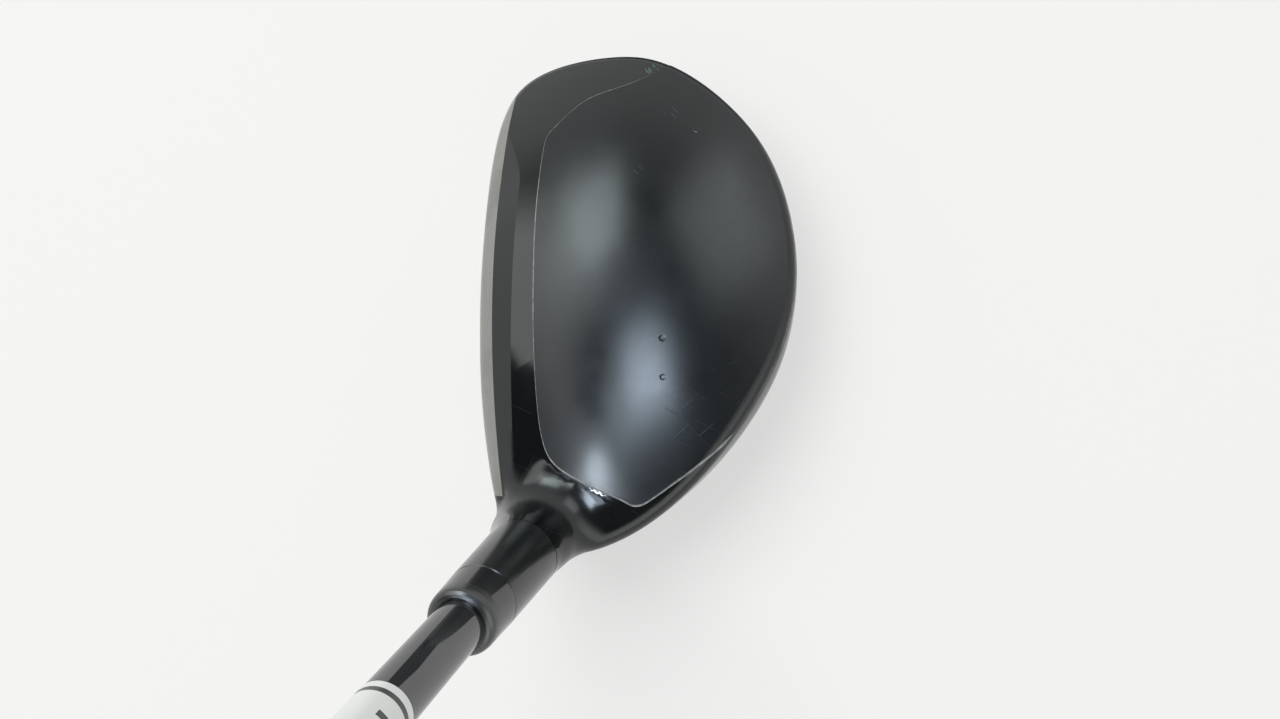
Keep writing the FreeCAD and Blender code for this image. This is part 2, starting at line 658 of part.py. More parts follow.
def make_head(doc):
    outside = head_outside()
    slab = front_slab(SIZES["plate_depth"])
    plate = only_solid(outside.common(slab))
    for groove in face_grooves():
        plate = plate.cut(groove)
    plate = only_solid(plate)

    root = hosel_flare().common(height_solid(sole_height, SIZES["root_lift"], 80))
    body = only_solid(outside.fuse(root)).cut(slab).cut(head_cavity())
    under_panel = height_solid(crown_height, -SIZES["panel_depth"], 40)
    recess = panel_prism(SIZES["bond_gap"]).common(under_panel)
    keep_neck = neck_rod(SIZES["hosel_rim_r"] + 0.6, 20, 60)
    body = body.cut(recess.cut(keep_neck))
    for rod in (neck_rod(SIZES["recess_r"], -10, SIZES["boss_foot"]),
                neck_rod(SIZES["screw_hole_r"], SIZES["boss_foot"] - 1, SIZES["boss_top"] + 1),
                neck_rod(SIZES["hosel_bore_r"], SIZES["boss_top"], 80),
                adapter_notches(),
                port_rod(SIZES["slug_r"] + SIZES["slug_slack"], -8, SIZES["slug_depth"] + 1),
                port_rod(SIZES["liner_r"], SIZES["slug_depth"],
                         SIZES["slug_depth"] + SIZES["liner_depth"] + 1)):
        body = body.cut(rod)
    body = only_solid(body)

    raised = outside.copy()
    raised.translate(FreeCAD.Vector(0, 0, SIZES["panel_rise"]))
    panel = raised.common(panel_prism(0)).common(under_panel).cut(keep_neck)
    bond = outside.common(panel_prism(SIZES["bond_gap"]).cut(panel_prism(0))).common(under_panel)
    bond = bond.cut(keep_neck)
    for name, shape in (("head_shell", body), ("face_plate", plate),
                        ("crown_panel", only_solid(panel)), ("crown_bond", only_solid(bond))):
        piece = doc.addObject("Part::Feature", name)
        piece.Label = name
        piece.Shape = shape
        piece.Placement = FreeCAD.Placement()


# ---------------------------------------------------------------- build and write

NODES = ("head_shell", "face_plate", "crown_panel", "crown_bond", "port_liner", "screw_washer",
         "hosel_screw", "screw_clip", "sole_weight", "weight_ring", "weight_bolt",
         "adapter_sleeve", "ferrule", "shaft", "tip_plug", "shaft_band", "grip_tape",
         "grip_sleeve", "grip_cap")


def main():
    os.makedirs("parts", exist_ok=True)
    doc = FreeCAD.newDocument("hybrid_club")
    sheet = fill_sheet(doc)
    for name in SIZES:
        SIZES[name] = float(sheet.get(name))
    make_shaft(doc)
    make_tip_plug(doc)
    make_shaft_band(doc)
    make_ferrule(doc)
    make_adapter(doc)
    make_hosel_screw(doc)
    make_screw_washer(doc)
    make_screw_clip(doc)
    make_grip(doc)
    make_weight(doc)
    make_head(doc)
    doc.recompute()
    for thing in doc.Objects:
        if "Invalid" in thing.State or "Error" in thing.State:
            raise RuntimeError(thing.Name + " did not compute")
    for name in NODES:
        shape = doc.getObject(name).Shape
        if shape.isNull() or not shape.isValid() or len(shape.Solids) != 1:
            raise RuntimeError(name + " is not one sound solid")
        print(f"{name}: {shape.Volume / 1000:.3f} cm3")
    for name in NODES:
        doc.getObject(name).Shape.exportStep("parts/" + name + ".step")


main()
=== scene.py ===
import bmesh
import bpy
import json
import math
import numpy as np
from mathutils import Matrix, Vector
from mathutils.bvhtree import BVHTree

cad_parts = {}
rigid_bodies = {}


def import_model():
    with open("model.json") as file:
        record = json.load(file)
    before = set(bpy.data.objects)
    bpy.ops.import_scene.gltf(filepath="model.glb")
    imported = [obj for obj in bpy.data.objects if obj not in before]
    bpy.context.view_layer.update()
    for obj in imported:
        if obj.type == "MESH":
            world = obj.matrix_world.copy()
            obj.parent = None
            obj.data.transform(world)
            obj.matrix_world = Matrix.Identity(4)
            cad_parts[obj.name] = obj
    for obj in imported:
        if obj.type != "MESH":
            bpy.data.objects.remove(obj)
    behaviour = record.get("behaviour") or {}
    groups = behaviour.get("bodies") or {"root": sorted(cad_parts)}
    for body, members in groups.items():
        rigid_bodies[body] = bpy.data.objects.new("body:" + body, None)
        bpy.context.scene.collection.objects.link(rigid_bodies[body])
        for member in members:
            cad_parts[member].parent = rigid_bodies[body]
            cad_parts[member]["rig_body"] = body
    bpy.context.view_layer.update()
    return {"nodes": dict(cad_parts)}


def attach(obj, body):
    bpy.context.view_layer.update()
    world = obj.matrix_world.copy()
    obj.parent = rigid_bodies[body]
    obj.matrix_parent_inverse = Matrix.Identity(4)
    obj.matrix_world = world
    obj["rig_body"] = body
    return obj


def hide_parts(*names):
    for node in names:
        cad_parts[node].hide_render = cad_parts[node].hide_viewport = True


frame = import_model()
nodes = frame["nodes"]

# The shaft's axis meets the ground at NECK_FOOT and rises along NECK_DIR, the club's lie.
LIE = math.radians(59.5)
NECK_FOOT = Vector((0.050, -0.008, 0.0))
NECK_DIR = Vector((math.cos(LIE), 0.0, math.sin(LIE)))
NECK_SIDE = Vector((0.0, 1.0, 0.0))
NECK_OVER = NECK_DIR.cross(NECK_SIDE)
MM = 0.001
FULL_TURN = 2 * math.pi

# The camera stands over the grip side of the head, as at address, and looks down on the crown.
CAMERA_PLACE = (0.1091, 0.0860, 0.2515)
CAMERA_RIGHT = (0.0380, 0.9484, -0.3149)
CAMERA_AHEAD = (-0.3106, -0.2883, -0.9058)
CAMERA_LENS = 33.75

# The stage: levels just under the sole, the floor's half width and the lamps' aim, in metres.
FLOOR_LEVEL = -0.0006
FLAG_LEVEL = -0.0003
FLOOR_HALF = 60
LAMP_AIM = Vector((0.02, 0.01, 0.03))
LAMP_DISTANCE = 1.4


# ------------------------------------------------------------------ node helpers

class Nodes:
    """Short calls for building a node tree. Coordinates are in metres, in the object's frame."""

    def __init__(self, tree, place):
        self.tree = tree
        self.place = self.add("ShaderNodeTexCoord").outputs[place]

    def add(self, kind, **settings):
        node = self.tree.nodes.new(kind)
        for key, value in settings.items():
            setattr(node, key, value)
        return node

    def feed(self, socket, value):
        if isinstance(value, bpy.types.NodeSocket):
            self.tree.links.new(value, socket)
        elif isinstance(value, tuple) and socket.type == "RGBA" and len(value) == 3:
            socket.default_value = (*value, 1.0)
        else:
            socket.default_value = value

    def noise(self, scale, detail=3.0, roughness=0.5, at=None):
        node = self.add("ShaderNodeTexNoise")
        node.inputs["Scale"].default_value = scale
        node.inputs["Detail"].default_value = detail
        node.inputs["Roughness"].default_value = roughness
        self.feed(node.inputs["Vector"], at if at is not None else self.place)
        return node.outputs["Fac"]

    def cells(self, scale):
        node = self.add("ShaderNodeTexVoronoi")
        node.inputs["Scale"].default_value = scale
        self.feed(node.inputs["Vector"], self.place)
        return node.outputs["Distance"]

    def moved(self, scale=(1, 1, 1), turn=(0, 0, 0), shift=(0, 0, 0), at=None):
        """The place, or 'at', turned, stretched and shifted."""
        node = self.add("ShaderNodeMapping")
        node.inputs["Scale"].default_value = scale
        node.inputs["Rotation"].default_value = turn
        node.inputs["Location"].default_value = shift
        self.feed(node.inputs["Vector"], at if at is not None else self.place)
        return node.outputs["Vector"]

    def ramp(self, value, low, high, start=0.0, end=1.0, smooth=True):
        """From 'start' at 'low' to 'end' at 'high', level beyond them; 'low' may be the larger."""
        node = self.add("ShaderNodeMapRange")
        node.interpolation_type = "SMOOTHSTEP" if smooth else "LINEAR"
        self.feed(node.inputs["Value"], value)
        node.inputs["From Min"].default_value = low
        node.inputs["From Max"].default_value = high
        node.inputs["To Min"].default_value = start
        node.inputs["To Max"].default_value = end
        return node.outputs["Result"]

    def math(self, operation, first, second=0.0):
        node = self.add("ShaderNodeMath", operation=operation)
        self.feed(node.inputs[0], first)
        self.feed(node.inputs[1], second)
        return node.outputs[0]

    def times(self, *values):
        result = values[0]
        for value in values[1:]:
            result = self.math("MULTIPLY", result, value)
        return result

    def most(self, *values):
        result = values[0]
        for value in values[1:]:
            result = self.math("MAXIMUM", result, value)
        return result

    def blend(self, share, first, second):
        node = self.add("ShaderNodeMix", data_type="RGBA")
        self.feed(node.inputs[0], share)
        self.feed(node.inputs[6], first)
        self.feed(node.inputs[7], second)
        return node.outputs[2]

    def split(self, vector=None):
        node = self.add("ShaderNodeSeparateXYZ")
        self.feed(node.inputs[0], vector if vector is not None else self.place)
        return node.outputs[0], node.outputs[1], node.outputs[2]

    def vector(self, operation, first, second, out="Vector"):
        node = self.add("ShaderNodeVectorMath", operation=operation)
        self.feed(node.inputs[0], first)
        self.feed(node.inputs[1], tuple(second) if isinstance(second, Vector) else second)
        return node.outputs[out]


class Shader(Nodes):
    """One procedural material around a Principled BSDF."""

    def __init__(self, name):
        self.material = bpy.data.materials.new(name)
        self.material.use_nodes = True
        super().__init__(self.material.node_tree, "Object")
        self.body = self.tree.nodes["Principled BSDF"]

    def set(self, **values):
        for key, value in values.items():
            self.feed(self.body.inputs[key.replace("_", " ")], value)

    def bump(self, height, distance, strength=1.0, below=None):
        node = self.add("ShaderNodeBump")
        node.inputs["Strength"].default_value = strength
        node.inputs["Distance"].default_value = distance
        self.feed(node.inputs["Height"], height)
        if below is not None:
            self.feed(node.inputs["Normal"], below)
        return node.outputs["Normal"]

    def spot(self, centre, inner, outer):
        """One inside 'inner' of a point, nothing beyond 'outer', all in millimetres."""
        centre = tuple(v * MM for v in centre)
        away = self.vector("DISTANCE", self.place, centre, "Value")
        return self.ramp(away, inner * MM, outer * MM, 1.0, 0.0)

    def scratches(self, pitch, run, width, angle, share, seed=0.0):
        """Straight scratches, about one to each cell of pitch x run mm, in 'share' of the cells."""
        shift = (seed * 0.013, seed * 0.007, seed * 0.003)
        turned = self.moved(turn=(0, 0, angle), shift=shift)
        at = self.moved(scale=(1 / (pitch * MM), 1 / (run * MM), 1 / (run * MM)), at=turned)
        cell = self.add("ShaderNodeTexVoronoi")
        cell.inputs["Scale"].default_value = 1.0
        self.feed(cell.inputs["Vector"], at)
        offset = self.vector("SUBTRACT", at, cell.outputs["Position"])
        across, along, _ = self.split(offset)
        half = width / pitch / 2
        line = self.ramp(self.math("ABSOLUTE", across), half * 0.4, half, 1.0, 0.0)
        ends = self.ramp(self.math("ABSOLUTE", along), 0.12, 0.38, 1.0, 0.0)
        chosen = self.math("LESS_THAN", self.split(cell.outputs["Color"])[0], share)
        return self.times(line, ends, chosen)

    def neck_place(self):
        """Distance up the shaft's axis from the ground, and the angle about it, 0 to 1."""
        arm = self.vector("SUBTRACT", self.place, NECK_FOOT)
        up = self.vector("DOT_PRODUCT", arm, NECK_DIR, "Value")
        side = self.vector("DOT_PRODUCT", arm, NECK_SIDE, "Value")
        over = self.vector("DOT_PRODUCT", arm, NECK_OVER, "Value")
        turn = self.math("DIVIDE", self.math("ARCTAN2", side, over), FULL_TURN)
        return up, self.math("FRACT", self.math("ADD", turn, 1.0))


def dress(node, shader):
    """Gives a CAD node's slots the material."""
    for slot in nodes[node].material_slots:
        slot.material = shader.material


def put(piece):
    bpy.context.scene.collection.objects.link(piece)
    return piece


def stand_for(piece, node):
    """The piece rides with the CAD node's body and is shown in its place."""
    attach(piece, nodes[node]["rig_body"])
    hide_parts(node)


# ------------------------------------------------------------------ camera, floor and light

def make_camera():
    data = bpy.data.cameras.new("camera")
    data.sensor_width = 36.0
    data.lens = CAMERA_LENS
    data.clip_start = 0.005
    data.clip_end = 200.0
    camera = put(bpy.data.objects.new("camera", data))
    right = Vector(CAMERA_RIGHT).normalized()
    ahead = Vector(CAMERA_AHEAD).normalized()
    up = right.cross(ahead).normalized()
    right = ahead.cross(up).normalized()
    turn = Matrix((right, up, -ahead)).transposed()
    camera.matrix_world = Matrix.Translation(CAMERA_PLACE) @ turn.to_4x4()
    bpy.context.scene.camera = camera


def area_light(name, way, size, power, colour, seen_by="glossy"):
    """A soft box round the head. Most of them show only as a sheen, so the floor stays even."""
    data = bpy.data.lights.new(name, "AREA")
    data.shape = "RECTANGLE"
    data.size, data.size_y = size
    data.energy = power
    data.color = colour
    lamp = put(bpy.data.objects.new(name, data))
    lamp.location = LAMP_AIM + Vector(way).normalized() * LAMP_DISTANCE
    lamp.rotation_mode = "QUATERNION"
    lamp.rotation_quaternion = (LAMP_AIM - lamp.location).to_track_quat("-Z", "Y")
    lamp.visible_diffuse = seen_by == "diffuse"
    lamp.visible_glossy = seen_by == "glossy"


def make_world():
    """An even pale room for the floor; a room with a dark ceiling and one window for the gloss."""
    world = bpy.data.worlds.new("studio")
    bpy.context.scene.world = world
    world.use_nodes = True
    tree = world.node_tree
    n = Nodes(tree, "Generated")
    x, y, z = n.split()
    ceiling = n.ramp(z, 0.40, 0.80, 1.0, 0.07)
    to_heel = n.vector("DOT_PRODUCT", n.place, Vector((0.80, 0.58, 0.15)), "Value")
    heel_glow = n.ramp(to_heel, 0.25, 0.95, 1.0, 1.9)
    room = n.times(ceiling, heel_glow, 0.93)
    edge = n.math("ADD", x, n.times(n.math("ADD", y, 0.47), -2.2))
    window = n.times(n.ramp(x, -0.72, -0.50), n.ramp(edge, -0.15, -0.11, 1.0, 0.0),
                     n.ramp(y, -0.80, -0.70), n.ramp(y, -0.32, -0.24, 1.0, 0.0),
                     n.ramp(z, 0.50, 0.60))
    gloss = n.math("ADD", room, n.times(window, 2.3))
    path = n.add("ShaderNodeLightPath")
    glossy, seen = path.outputs["Is Glossy Ray"], path.outputs["Is Camera Ray"]
    even = n.math("ADD", 0.46, n.times(seen, 0.42))
    others = n.times(n.math("SUBTRACT", 1.0, glossy), even)
    strength = n.math("ADD", n.times(glossy, gloss), others)
    shade = tree.nodes["Background"]
    shade.inputs["Color"].default_value = (0.985, 1.0, 0.998, 1)
    n.feed(shade.inputs["Strength"], strength)


def flat_sheet(name, low, high, height):
    mesh = bpy.data.meshes.new(name)
    mesh.from_pydata([(low[0], low[1], height), (high[0], low[1], height),
                      (high[0], high[1], height), (low[0], high[1], height)], [], [(0, 1, 2, 3)])
    sheet = put(bpy.data.objects.new(name, mesh))
    return sheet


def make_floor():
    """Pale paper with some light of its own, and a grey card that only reflections see: a painted
    dark reflection.
    """
    corner = (FLOOR_HALF, FLOOR_HALF)
    floor = flat_sheet("floor", (-FLOOR_HALF, -FLOOR_HALF), corner, FLOOR_LEVEL)
    s = Shader("floor_paper")
    cloud = s.noise(3.0, 3.0, 0.5)
    paper = s.blend(cloud, (0.350, 0.354, 0.348), (0.358, 0.358, 0.350))
    s.set(Base_Color=paper, Roughness=0.9, Specular_IOR_Level=0.0,
          Emission_Color=(1.0, 1.0, 0.993), Emission_Strength=0.585)
    floor.data.materials.append(s.material)

    # A dark card seen only by glossy rays: a painted dark reflection on the gloss of the head and
    # the shaft.
    flag = flat_sheet("flag", (-1.6, -0.035), (-0.045, 0.075), FLAG_LEVEL)
    s = Shader("reflection_only_dark_card")
    s.set(Base_Color=s.blend(s.noise(40.0), (0.15, 0.16, 0.17), (0.19, 0.20, 0.21)),
          Roughness=1.0, Specular_IOR_Level=0.0)
    flag.data.materials.append(s.material)
    flag.visible_camera = False
    flag.visible_diffuse = False
    flag.visible_shadow = False


def make_studio():
    bpy.context.scene.view_settings.view_transform = "Standard"
    make_world()
    make_floor()
    area_light("key", (-0.22, -0.22, 0.95), (1.2, 1.2), 11.5, (1.0, 1.0, 0.99), "diffuse")
    area_light("sheen_high", (-0.04, 0.24, 0.97), (0.34, 0.38), 5.6, (0.80, 0.96, 1.14))
    area_light("sheen_middle", (0.09, 0.05, 0.99), (0.30, 0.30), 1.5, (0.80, 0.96, 1.12))
    area_light("sheen_heel", (0.28, -0.17, 0.945), (0.06, 0.045), 4.0, (0.84, 0.97, 1.10))
    area_light("sheen_toe", (-0.57, -0.10, 0.81), (0.50, 0.50), 4.8, (0.88, 1.0, 1.02))
    area_light("sheen_front", (-0.38, -0.20, 0.90), (0.45, 0.45), 1.3, (0.88, 1.0, 1.02))
    area_light("sheen_rear", (-0.51, 0.60, 0.62), (0.6, 0.6), 2.4, (0.92, 1.0, 1.02))


# ------------------------------------------------------------------ head shell and face

# The root of the neck is relaxed into a fillet. It keeps its CAD shape beyond REACH_OUT of ROOT,
# up the neck past RIM_HIGH, down by the sole, in the screw's port and at the edges of the panel
# and the face. Between the two figures of a pair the freedom to move fades.
ROOT = NECK_FOOT + NECK_DIR * (30 * MM)
RIM_LOW, RIM_HIGH = 36.0 * MM, 41.5 * MM
SOLE_LOW, SOLE_HIGH = 5.5 * MM, 8.0 * MM
PORT_TOP, PORT_IN, PORT_OUT = 22.0 * MM, 5.6 * MM, 6.6 * MM
REACH_IN, REACH_OUT = 15.0 * MM, 22.0 * MM
SEAM_IN, SEAM_OUT = 0.5 * MM, 3.5 * MM
EDGE = 0.8 * MM
SPLIT_ROUNDS = 7
RELAX_ROUNDS = 160
RELAX_STEP = 0.6
WELD = 1e-6
OUTSIDE_WAYS = ((0, -1, 0.3), (0, 1, 0.3), (-0.7, 0, 0.7), (0.95, 0, -0.3),
                (-0.5, -0.7, 0.5), (-0.5, 0.7, 0.5), (0.6, 0.75, -0.2), (0.6, -0.75, -0.2))


def smoothstep(value, low, high):
    share = np.clip((value - low) / (high - low), 0.0, 1.0)
    return share * share * (3.0 - 2.0 * share)


def root_share(points):
    """How freely a point of the neck's root may move, from 0 to 1."""
    foot, along = np.array(NECK_FOOT), np.array(NECK_DIR)
    near = 1.0 - smoothstep(np.linalg.norm(points - np.array(ROOT), axis=1), REACH_IN, REACH_OUT)
    up = (points - foot) @ along
    below_rim = 1.0 - smoothstep(up, RIM_LOW, RIM_HIGH)
    share = near * below_rim * smoothstep(points[:, 2], SOLE_LOW, SOLE_HIGH)
    out = np.linalg.norm(points - foot - up[:, None] * along, axis=1)
    share = np.where(up < PORT_TOP, share * smoothstep(out, PORT_IN, PORT_OUT), share)
    edge_parts = surface_of("crown_bond", "crown_panel", "face_plate")
    for index in np.nonzero(share > 0)[0]:
        away = edge_parts.find_nearest(Vector(points[index]))[3]
        share[index] *= smoothstep(away, SEAM_IN, SEAM_OUT)
    return share


def surface_of(*names):
    """One search tree over the meshes of some CAD nodes."""
    points, faces = [], []
    for name in names:
        mesh = nodes[name].data
        start = len(points)
        points += [v.co.copy() for v in mesh.vertices]
        faces += [[start + i for i in polygon.vertices] for polygon in mesh.polygons]
    return BVHTree.FromPolygons(points, faces)


def is_outside(tree, point, normal):
    """True where a ray from just off the surface gets away from the head."""
    start = point + normal * (0.06 * MM)
    for way in OUTSIDE_WAYS:
        way = Vector(way).normalized()
        if way.dot(normal) > -0.2 and tree.ray_cast(start, way)[0] is None:
            return True
    return False


def refine(bm):
    """Splits the long edges near the root until the surface is fine enough to bend."""
    for _ in range(SPLIT_ROUNDS):
        long_edges = []
        for edge in bm.edges:
            middle = (edge.verts[0].co + edge.verts[1].co) / 2
            spots = (edge.verts[0].co, edge.verts[1].co, middle)
            close = min((spot - ROOT).length for spot in spots)
            if close < REACH_OUT and edge.calc_length() > EDGE * 1.5:
                long_edges.append(edge)
        if not long_edges:
            break
        bmesh.ops.subdivide_edges(bm, edges=long_edges, cuts=1)
        bmesh.ops.triangulate(bm, faces=[f for f in bm.faces if len(f.verts) > 3])


def fill_root(points, normals, share, links):
    """Relaxes the points, only ever outwards, so the crease fills and nothing shrinks."""
    first, second = links
    count = np.bincount(np.concatenate(links), minlength=len(points)).astype(float)
    start = points.copy()
    for _ in range(RELAX_ROUNDS):
        total = np.zeros_like(points)
        np.add.at(total, first, points[second])
        np.add.at(total, second, points[first])
        move = (total / count[:, None] - points) * (share * RELAX_STEP)[:, None]
        points = points + move
        sunk = np.minimum(((points - start) * normals).sum(1), 0.0)
        points = points - normals * sunk[:, None]
    return points


def weld(bm):
    bmesh.ops.remove_doubles(bm, verts=bm.verts, dist=WELD)


def smooth_faces(mesh):
    for polygon in mesh.polygons:
        polygon.use_smooth = True


def make_head_shell():
    """The cast shell with its neck's root filled to a fillet, and the CAD normals elsewhere."""
    mesh = nodes["head_shell"].data.copy()
    mesh.name = "head_body"
    piece = put(bpy.data.objects.new("head_body", mesh))
    layer = mesh.attributes.new("cad_normal", "FLOAT_VECTOR", "CORNER")
    kept = np.zeros(len(mesh.loops) * 3, np.float32)
    mesh.corner_normals.foreach_get("vector", kept)
    layer.data.foreach_set("vector", kept)

    bm = bmesh.new()
    bm.from_mesh(mesh)
    weld(bm)
    refine(bm)
    bm.normal_update()
    bm.verts.ensure_lookup_table()
    bm.verts.index_update()
    points = np.array([v.co for v in bm.verts])
    normals = np.array([v.normal for v in bm.verts])
    share = root_share(points)
    tree = surface_of("head_shell", "face_plate", "crown_panel", "adapter_sleeve")
    for index in np.nonzero(share > 0)[0]:
        vert = bm.verts[index]
        if not is_outside(tree, vert.co, vert.normal):
            share[index] = 0.0
    pairs = [(e.verts[0].index, e.verts[1].index) for e in bm.edges]
    links = tuple(np.array(side) for side in zip(*pairs))
    moved = fill_root(points, normals, share, links)
    shift = np.linalg.norm(moved - points, axis=1)
    for index in np.nonzero(shift > 0)[0]:
        bm.verts[index].co = moved[index]
    bm.to_mesh(mesh)
    bm.free()

    corner = np.zeros(len(mesh.loops), np.int64)
    mesh.loops.foreach_get("vertex_index", corner)
    cad = np.zeros(len(mesh.loops) * 3, np.float32)
    mesh.attributes["cad_normal"].data.foreach_get("vector", cad)
    round_normal = np.array([v.normal for v in mesh.vertices])[corner]
    use = smoothstep(shift, 0.01 * MM, 0.08 * MM)[corner][:, None]
    final = cad.reshape(-1, 3) * (1 - use) + round_normal * use
    final /= np.maximum(np.linalg.norm(final, axis=1, keepdims=True), 1e-9)
    mesh.attributes.remove(mesh.attributes["cad_normal"])
    smooth_faces(mesh)
    mesh.normals_split_custom_set(final.tolist())
    stand_for(piece, "head_shell")
    return piece


def make_face():
    """The face plate with evenly weighted normals, so its broad curve and grooves shade cleanly."""
    mesh = nodes["face_plate"].data.copy()
    bm = bmesh.new()
    bm.from_mesh(mesh)
    weld(bm)
    bm.to_mesh(mesh)
    bm.free()
    smooth_faces(mesh)
    mesh.set_sharp_from_angle(angle=math.radians(24))
    rough = put(bpy.data.objects.new("face_rough", mesh))
    weigh = rough.modifiers.new("weigh", "WEIGHTED_NORMAL")
    weigh.keep_sharp = True
    weigh.weight = 100
    view = bpy.context.evaluated_depsgraph_get()
    final = bpy.data.meshes.new_from_object(rough.evaluated_get(view))
    final.name = "face_body"
    bpy.data.objects.remove(rough)
    piece = put(bpy.data.objects.new("face_body", final))
    stand_for(piece, "face_plate")
    return piece


# ------------------------------------------------------------------ lathed pieces on the shaft

def lathe(name, rows, around, lift):
    """A closed tube about the shaft's axis from (distance up, radius) rows, joined end to start."""
    points, faces = [], []
    for up, radius in rows:
        for step in range(around):
            turn = FULL_TURN * step / around
            out = NECK_OVER * math.cos(turn) + NECK_SIDE * math.sin(turn)
            reach = radius + lift(up, turn)
            points.append(NECK_FOOT + NECK_DIR * (up * MM) + out * (reach * MM))
    count = len(rows)
    for row in range(count):
        below, above = row * around, (row + 1) % count * around
        for step in range(around):
            after = (step + 1) % around
            faces.append((below + step, below + after, above + after, above + step))
    mesh = bpy.data.meshes.new(name)
    mesh.from_pydata(points, [], faces)
    mesh.validate()
    bm = bmesh.new()
    bm.from_mesh(mesh)
    bmesh.ops.recalc_face_normals(bm, faces=bm.faces)
    bm.to_mesh(mesh)
    bm.free()
    smooth_faces(mesh)
    return put(bpy.data.objects.new(name, mesh))


def cad_radii(node):
    """Where the node ends down and up the axis, then its outer and bore radii there, in mm."""
    arms = [v.co - NECK_FOOT for v in nodes[node].data.vertices]
    ups = [arm.dot(NECK_DIR) for arm in arms]
    outs = [(arm - NECK_DIR * up).length for arm, up in zip(arms, ups)]
    low, high = min(ups), max(ups)
    near_low = [out for up, out in zip(ups, outs) if up < low + 2.5 * MM]
    near_high = [out for up, out in zip(ups, outs) if up > high - 2.5 * MM]
    figures = (low, high, max(near_low), max(near_high), min(near_low), min(near_high))
    return [figure / MM for figure in figures]


# The grip's pattern, in millimetres: plain lengths at the two ends, and the fade into them
GRIP_COLLAR, GRIP_TOP_PLAIN, GRIP_FADE = 9.0, 14.0, 4.0
# Crossed spirals: how deep, how far apart, how many each way, and how wide a cut is
GRIP_GROOVE, GRIP_PITCH, GRIP_WAYS, GRIP_CUT = 0.6, 7.0, 10, 0.26
# The spirals come in bands this long, which end in a thin ring
GRIP_BAND, GRIP_BAND_EDGE, GRIP_RING = 44.0, 0.22, 0.03
GRIP_ROWS, GRIP_AROUND = 420, 140


def make_grip():
    """The rubber grip with crossed spiral grooves in bands; sizes are in millimetres."""
    low, high, thin, thick, bore_low, bore_high = cad_radii("grip_sleeve")
    length = high - low

    def radius(up):
        return thin + (thick - thin) * (up - low) / length

    def lift(up, turn):
        if not low + 1 < up < high - 1:
            return 0.0
        share = (min(max((up - low - GRIP_COLLAR) / GRIP_FADE, 0.0), 1.0)
                 * min(max((high - GRIP_TOP_PLAIN - up) / GRIP_FADE, 0.0), 1.0))
        if share <= 0.0:
            return 0.0
        swirl = FULL_TURN * (up - low) / (GRIP_PITCH * GRIP_WAYS)
        one = abs(math.sin(GRIP_WAYS * (turn + swirl) / 2))
        two = abs(math.sin(GRIP_WAYS * (turn - swirl) / 2))
        cut = max(0.0, 1.0 - min(one, two) / GRIP_CUT)
        band = math.sin(math.pi * ((up - low) % GRIP_BAND) / GRIP_BAND)
        crossed = 1.0 if band > GRIP_BAND_EDGE else 0.0
        ring = max(0.0, 1.0 - abs(band - GRIP_BAND_EDGE) / GRIP_RING)
        return -GRIP_GROOVE * share * max(cut * cut * (3 - 2 * cut) * crossed, ring)

    rows = [(low, bore_low), (low, radius(low) - 0.5), (low + 0.15, radius(low) - 0.15),
            (low + 0.5, radius(low))]
    for step in range(1, GRIP_ROWS):
        up = low + 0.5 + (length - 1.0) * step / GRIP_ROWS
        rows.append((up, radius(up)))
    rows += [(high - 0.4, radius(high)), (high, radius(high) - 0.4), (high, bore_high)]
    piece = lathe("grip_skin", rows, GRIP_AROUND, lift)
    stand_for(piece, "grip_sleeve")
    piece.data.materials.append(grip_rubber("grip_rubber").material)


# ------------------------------------------------------------------ materials

# Marks of use, as (x, y, z) in millimetres
TOE_CHIP = (-37.5, 19.5, 23)
HEEL_SCUFFS = (50, 27, 26)
NICK = (-19.2, 28.8, 25.0)
DENTS = ((29.7, 20.8, 31.3), (37.7, 20.3, 30.5))
RUBS = ((-24.2, 23.8, 25.8), (-9.3, 16.7, 31.3))

# The face's score lines, in millimetres: the lowest edge, the pitch and the width; half the
# longest row, how fast the rows shorten away from it, and where they are centred along X
SCORE_ROWS = 7
SCORE_LOW, SCORE_PITCH, SCORE_WIDTH = 7.5, 3.3, 0.9
SCORE_HALF, SCORE_TAPER, SCORE_X = 25, 1.1, 10


def dust_on(s, density=420.0, patch=34.0):
    """Sparse specks of dust in loose patches."""
    specks = s.ramp(s.cells(density), 0.035, 0.055, 1.0, 0.0)
    return s.times(specks, s.ramp(s.noise(patch, 2.0), 0.58, 0.68))


